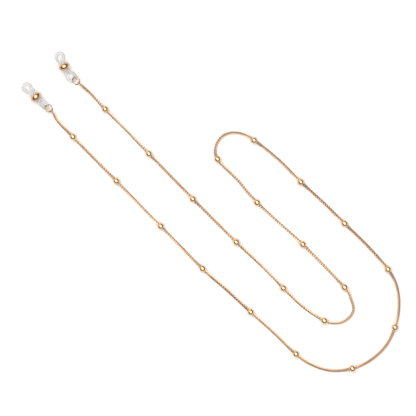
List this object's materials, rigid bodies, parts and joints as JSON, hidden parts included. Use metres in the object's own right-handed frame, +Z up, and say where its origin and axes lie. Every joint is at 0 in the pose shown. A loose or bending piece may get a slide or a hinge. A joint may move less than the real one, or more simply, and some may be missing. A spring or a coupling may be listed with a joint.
{
  "type": "eyeglass retainer strap",
  "caption": "Fine curb chain with ball beads that holds spectacles round the neck, with a clear silicone loop and a slide bead at each end to grip the temple arms.",
  "frame": {"origin": "on the table, midway between the two end fittings (bottom centre of their box, chain left out)", "axes": "+Z up from the table; the object lies flat, its doubled chain running towards +X and -Y"},
  "size_m": [0.1895, 0.1603, 0.0058],
  "materials": {
    "gold_chain": "polished gold plate on brass",
    "gold_ball": "polished gold plate on brass",
    "gold_ring": "polished gold plate on brass wire",
    "gold_slide": "polished gold plate on turned brass",
    "clear_silicone": "clear silicone, smooth"
  },
  "bodies": {
    "neck_run": {"bead_08": "gold_ball", "bead_09": "gold_ball", "bead_10": "gold_ball", "bead_11": "gold_ball", "bead_12": "gold_ball", "bead_13": "gold_ball", "bead_14": "gold_ball", "bead_15": "gold_ball", "bead_16": "gold_ball", "bead_17": "gold_ball", "bead_18": "gold_ball", "chain_09": "gold_chain", "chain_10": "gold_chain", "chain_11": "gold_chain", "chain_12": "gold_chain", "chain_13": "gold_chain", "chain_14": "gold_chain", "chain_15": "gold_chain", "chain_16": "gold_chain", "chain_17": "gold_chain", "chain_18": "gold_chain"},
    "left_run_1": {"chain_08": "gold_chain", "bead_07": "gold_ball"},
    "left_run_2": {"chain_07": "gold_chain", "bead_06": "gold_ball"},
    "left_run_3": {"chain_06": "gold_chain", "bead_05": "gold_ball"},
    "left_run_4": {"chain_05": "gold_chain", "bead_04": "gold_ball"},
    "left_run_5": {"chain_04": "gold_chain", "bead_03": "gold_ball"},
    "left_run_6": {"chain_03": "gold_chain", "bead_02": "gold_ball"},
    "left_run_7": {"chain_02": "gold_chain", "bead_01": "gold_ball", "chain_01": "gold_chain", "left_end_link": "gold_chain"},
    "left_ring": {"left_jump_ring": "gold_ring"},
    "left_loop": {"left_silicone_loop": "clear_silicone"},
    "left_slide": {"left_slide_bead": "gold_slide"},
    "right_run_1": {"chain_19": "gold_chain", "bead_19": "gold_ball"},
    "right_run_2": {"chain_20": "gold_chain", "bead_20": "gold_ball"},
    "right_run_3": {"chain_21": "gold_chain", "bead_21": "gold_ball"},
    "right_run_4": {"chain_22": "gold_chain", "bead_22": "gold_ball", "chain_23": "gold_chain", "right_end_link": "gold_chain"},
    "right_ring": {"right_jump_ring": "gold_ring"},
    "right_loop": {"right_silicone_loop": "clear_silicone"},
    "right_slide": {"right_slide_bead": "gold_slide"}
  },
  "joints": [
    {"name": "left_bend_1", "type": "hinge", "parent": "neck_run", "child": "left_run_1", "pos_m": [0.1721, -0.1227, 0.0017], "axis": [-0.7071, 0.7071, 0], "range_deg": [0, 30]},
    {"name": "left_bend_2", "type": "hinge", "parent": "left_run_1", "child": "left_run_2", "pos_m": [0.1508, -0.1433, 0.0017], "axis": [-0.2544, 0.9671, 0], "range_deg": [0, 30]},
    {"name": "left_bend_3", "type": "hinge", "parent": "left_run_2", "child": "left_run_3", "pos_m": [0.1226, -0.136, 0.0017], "axis": [0.6438, 0.7652, 0], "range_deg": [0, 30]},
    {"name": "left_bend_4", "type": "hinge", "parent": "left_run_3", "child": "left_run_4", "pos_m": [0.1, -0.115, 0.0017], "axis": [0.6715, 0.741, 0], "range_deg": [0, 30]},
    {"name": "left_bend_5", "type": "hinge", "parent": "left_run_4", "child": "left_run_5", "pos_m": [0.0759, -0.0933, 0.0017], "axis": [0.6949, 0.7191, 0], "range_deg": [0, 30]},
    {"name": "left_bend_6", "type": "hinge", "parent": "left_run_5", "child": "left_run_6", "pos_m": [0.055, -0.0721, 0.0017], "axis": [0.7129, 0.7012, 0], "range_deg": [0, 30]},
    {"name": "left_bend_7", "type": "hinge", "parent": "left_run_6", "child": "left_run_7", "pos_m": [0.0328, -0.0495, 0.0017], "axis": [0.7135, 0.7007, 0], "range_deg": [0, 30]},
    {"name": "left_ring_swing", "type": "hinge", "parent": "left_run_7", "child": "left_ring", "pos_m": [0.00023, -0.01457, 0.00126], "axis": [0.6334, 0.5906, -0.5], "range_deg": [0, 60]},
    {"name": "left_loop_swing", "type": "hinge", "parent": "left_ring", "child": "left_loop", "pos_m": [-0.00239, -0.01175, 0.00126], "axis": [0.6334, 0.5906, -0.5], "range_deg": [0, 25]},
    {"name": "left_bead_slide", "type": "slide", "parent": "left_loop", "child": "left_slide", "axis": [-0.7009, 0.7133, 0], "range_m": [-0.0025, 0.0035], "deforming": ["left_silicone_loop"]},
    {"name": "right_bend_1", "type": "hinge", "parent": "neck_run", "child": "right_run_1", "pos_m": [0.1163, -0.1031, 0.0017], "axis": [0.703, 0.7112, 0], "range_deg": [0, 30]},
    {"name": "right_bend_2", "type": "hinge", "parent": "right_run_1", "child": "right_run_2", "pos_m": [0.0928, -0.0801, 0.0017], "axis": [0.6972, 0.7168, 0], "range_deg": [0, 30]},
    {"name": "right_bend_3", "type": "hinge", "parent": "right_run_2", "child": "right_run_3", "pos_m": [0.071, -0.0585, 0.0017], "axis": [0.7112, 0.703, 0], "range_deg": [0, 30]},
    {"name": "right_bend_4", "type": "hinge", "parent": "right_run_3", "child": "right_run_4", "pos_m": [0.0491, -0.0359, 0.0017], "axis": [0.7159, 0.6982, 0], "range_deg": [0, 30]},
    {"name": "right_ring_swing", "type": "hinge", "parent": "right_run_4", "child": "right_ring", "pos_m": [0.01405, -0.00064, 0.00126], "axis": [0.5795, 0.6436, 0.5], "range_deg": [0, 60]},
    {"name": "right_loop_swing", "type": "hinge", "parent": "right_ring", "child": "right_loop", "pos_m": [0.01119, 0.00194, 0.00126], "axis": [0.5795, 0.6436, 0.5], "range_deg": [0, 25]},
    {"name": "right_bead_slide", "type": "slide", "parent": "right_loop", "child": "right_slide", "axis": [-0.4695, 0.8829, 0], "range_m": [-0.0035, 0.0025], "deforming": ["right_silicone_loop"]}
  ]
}
